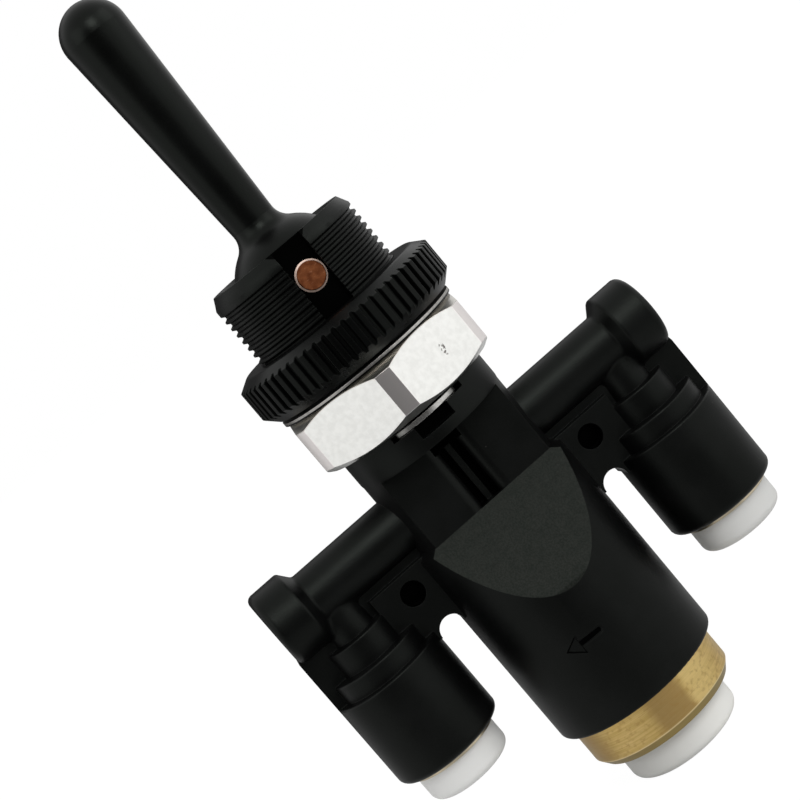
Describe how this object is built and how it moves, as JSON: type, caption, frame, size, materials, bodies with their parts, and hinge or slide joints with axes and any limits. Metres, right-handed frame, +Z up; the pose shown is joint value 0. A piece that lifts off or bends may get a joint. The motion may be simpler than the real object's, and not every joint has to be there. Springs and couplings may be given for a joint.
{
  "type": "air valve switch",
  "caption": "Panel-mounted toggle valve for compressed air: bat lever on a threaded neck, a wide supply port below and a narrow delivery port on each side arm.",
  "frame": {"origin": "on the axis of the threaded neck, at the underside of the knurled ring, where the panel's front face lies", "axes": "+Z up the neck to the lever, -Y to the front with the pin's face, +X to the right-hand delivery port"},
  "size_m": [0.0586, 0.028, 0.1125],
  "materials": {
    "body_plastic": "moulded black nylon, fine grained",
    "lever_plastic": "moulded black nylon, satin",
    "ring_plastic": "moulded black nylon, a little glossier",
    "pin_copper": "copper coloured pin, dull face, bright bevel",
    "washer_steel": "plain zinc plated washer",
    "nut_plate": "bright nickel plate, finely mottled",
    "clip_steel": "spring steel, blank",
    "guide_plastic": "natural acetal",
    "insert_brass": "turned brass, fine rings",
    "sleeve_brass": "drawn brass, dull",
    "collet_plastic": "milky white acetal",
    "seal_rubber": "black nitrile rubber",
    "spool_metal": "ground brass rod",
    "spring_wire": "stainless spring wire"
  },
  "bodies": {
    "housing": {"valve_body": "body_plastic", "pivot_pin": "pin_copper", "knurled_ring": "ring_plastic", "panel_washer": "washer_steel", "hex_nut": "nut_plate", "retaining_clip": "clip_steel", "guide_plate": "guide_plastic", "supply_insert": "insert_brass", "supply_insert_seal": "seal_rubber", "supply_sleeve": "sleeve_brass", "supply_grip_ring": "clip_steel", "supply_backup_ring": "guide_plastic", "supply_tube_seal": "seal_rubber", "left_sleeve": "sleeve_brass", "left_grip_ring": "clip_steel", "left_backup_ring": "guide_plastic", "left_tube_seal": "seal_rubber", "left_end_plug": "body_plastic", "left_return_spring": "spring_wire", "right_sleeve": "sleeve_brass", "right_grip_ring": "clip_steel", "right_backup_ring": "guide_plastic", "right_tube_seal": "seal_rubber", "right_end_plug": "body_plastic", "right_return_spring": "spring_wire"},
    "lever": {"toggle_lever": "lever_plastic"},
    "left_spool_body": {"left_spool": "spool_metal", "left_spool_seals": "seal_rubber"},
    "right_spool_body": {"right_spool": "spool_metal", "right_spool_seals": "seal_rubber"},
    "supply_collet_body": {"supply_collet": "collet_plastic"},
    "left_collet_body": {"left_collet": "collet_plastic"},
    "right_collet_body": {"right_collet": "collet_plastic"}
  },
  "joints": [
    {"name": "lever_tilt", "type": "hinge", "parent": "housing", "child": "lever", "pos_m": [0, 0, 0.0111], "axis": [0, 1, 0], "range_deg": [-20, 20], "stiffness_Nm_per_rad": 0.16},
    {"name": "left_spool_slide", "type": "slide", "parent": "housing", "child": "left_spool_body", "axis": [0, 0, 1], "range_m": [-0.0016, 0.0016], "deforming": ["left_return_spring"]},
    {"name": "right_spool_slide", "type": "slide", "parent": "housing", "child": "right_spool_body", "axis": [0, 0, 1], "range_m": [-0.0016, 0.0016], "deforming": ["right_return_spring"]},
    {"name": "supply_collet_release", "type": "slide", "parent": "housing", "child": "supply_collet_body", "axis": [0, 0, 1], "range_m": [0, 0.0008], "stiffness_N_per_m": 400},
    {"name": "left_collet_release", "type": "slide", "parent": "housing", "child": "left_collet_body", "axis": [0, 0, 1], "range_m": [0, 0.0008], "stiffness_N_per_m": 400},
    {"name": "right_collet_release", "type": "slide", "parent": "housing", "child": "right_collet_body", "axis": [0, 0, 1], "range_m": [0, 0.0008], "stiffness_N_per_m": 400}
  ],
  "couplings": [
    {"joint": "right_spool_slide", "follows": "lever_tilt", "m_per_rad": -0.0044},
    {"joint": "left_spool_slide", "follows": "lever_tilt", "m_per_rad": 0.0044}
  ]
}
